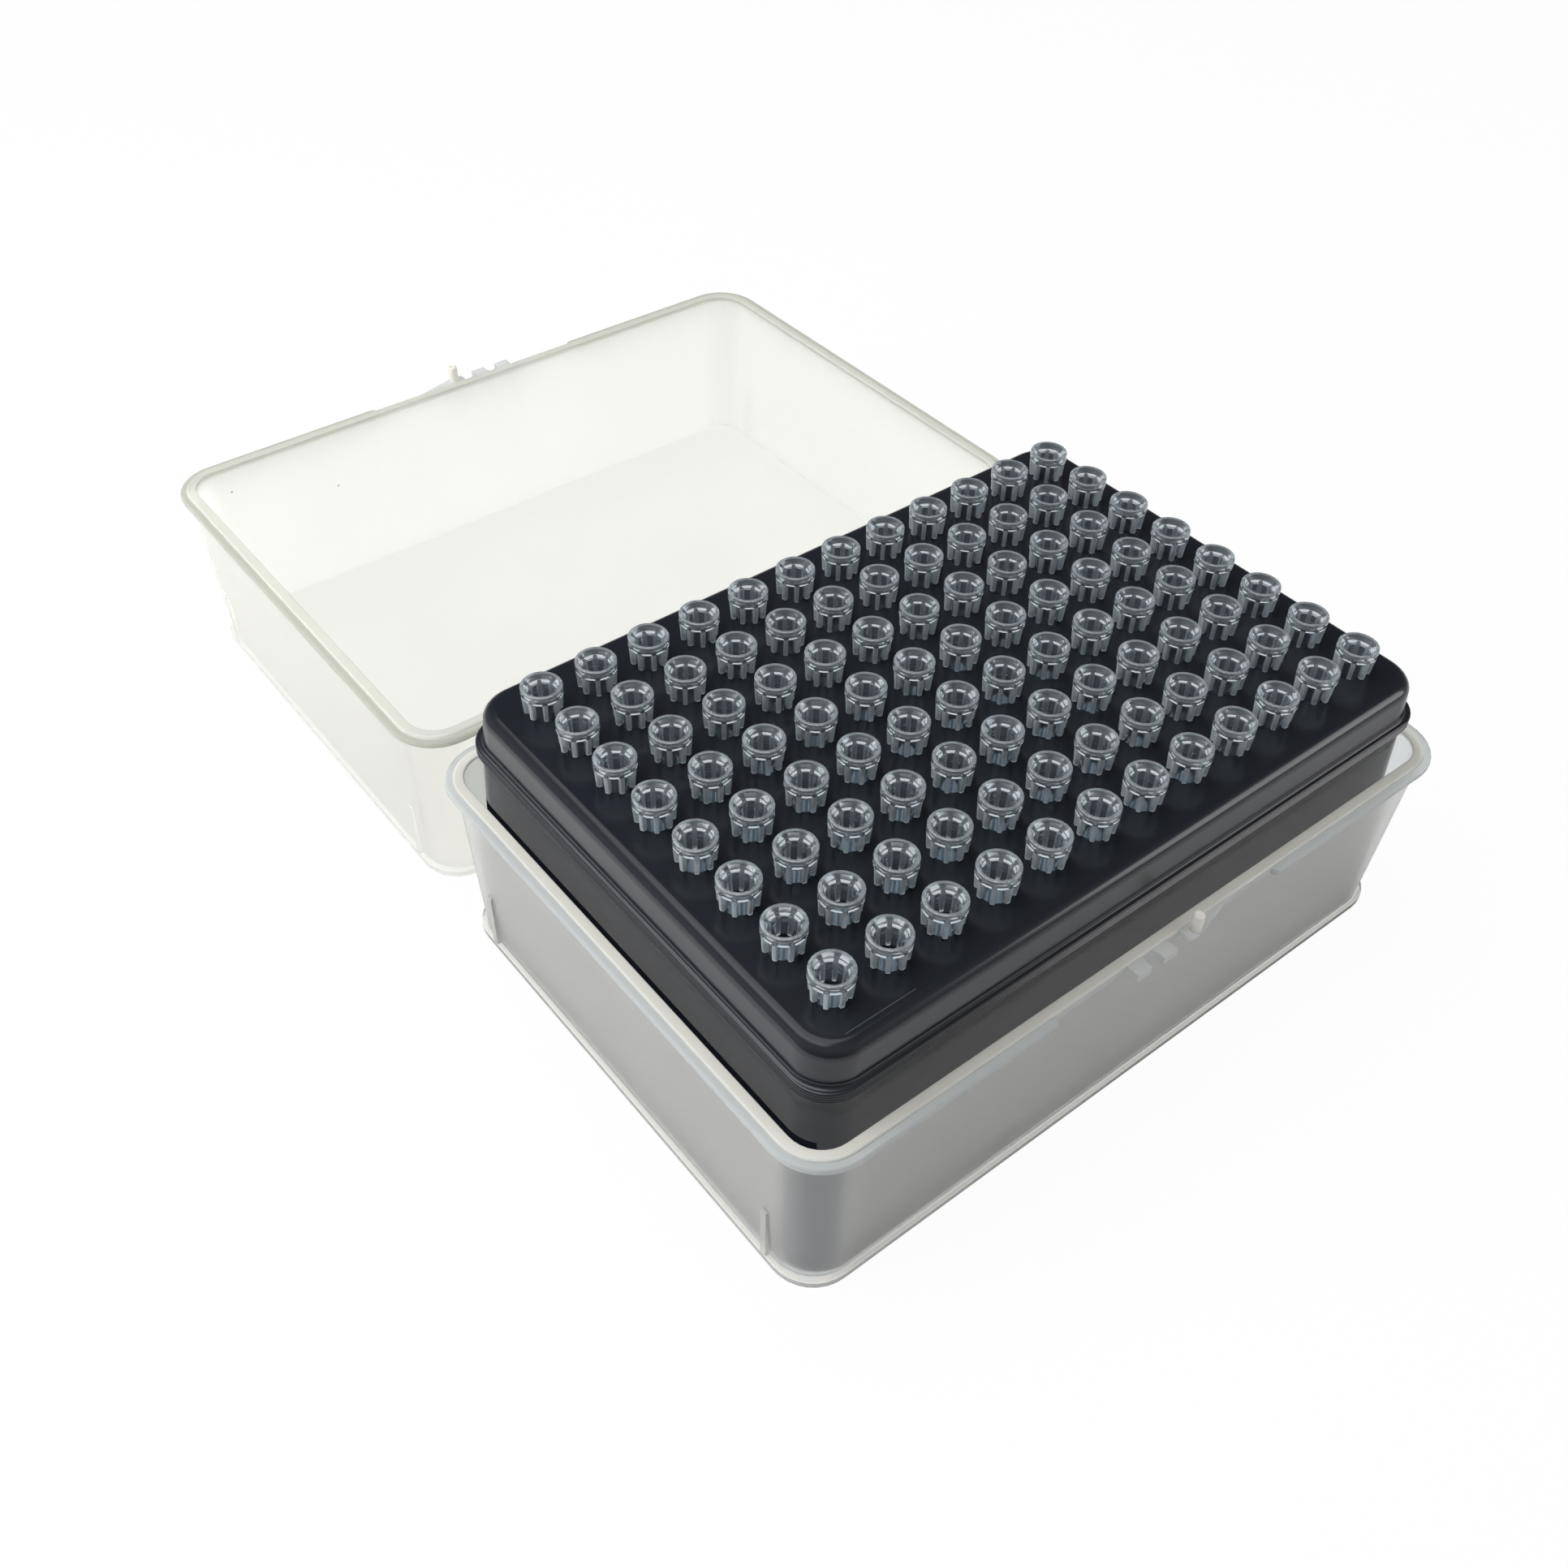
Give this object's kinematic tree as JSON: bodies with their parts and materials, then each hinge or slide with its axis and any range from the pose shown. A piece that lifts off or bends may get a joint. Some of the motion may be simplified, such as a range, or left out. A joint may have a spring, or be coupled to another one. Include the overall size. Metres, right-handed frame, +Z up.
{
  "type": "box of pipette tips",
  "caption": "Hinged box of two identical frosted halves, open, with a black rack that carries a grid of ribbed micro pipette tips.",
  "frame": {"origin": "middle of the base box's underside, on the table", "axes": "+Z up, +Y from the latch to the hinge and the open lid, +X along the row of twelve tips"},
  "size_m": [0.1256, 0.1844, 0.0501],
  "materials": {
    "frosted_case": "frosted natural polypropylene",
    "black_rack": "glossy black",
    "clear_tip": "clear natural polypropylene"
  },
  "bodies": {
    "base": {"base_box": "frosted_case", "rack_insert": "black_rack", "tips_column_01": "clear_tip", "tips_column_02": "clear_tip", "tips_column_03": "clear_tip", "tips_column_04": "clear_tip", "tips_column_05": "clear_tip", "tips_column_06": "clear_tip", "tips_column_07": "clear_tip", "tips_column_08": "clear_tip", "tips_column_09": "clear_tip", "tips_column_10": "clear_tip", "tips_column_11": "clear_tip", "tips_column_12": "clear_tip"},
    "lid": {"lid": "frosted_case"}
  },
  "joints": [
    {"name": "lid_hinge", "type": "hinge", "parent": "base", "child": "lid", "pos_m": [0, 0.0462, 0.0321], "axis": [1, 0, 0], "range_deg": [0, 180]}
  ]
}
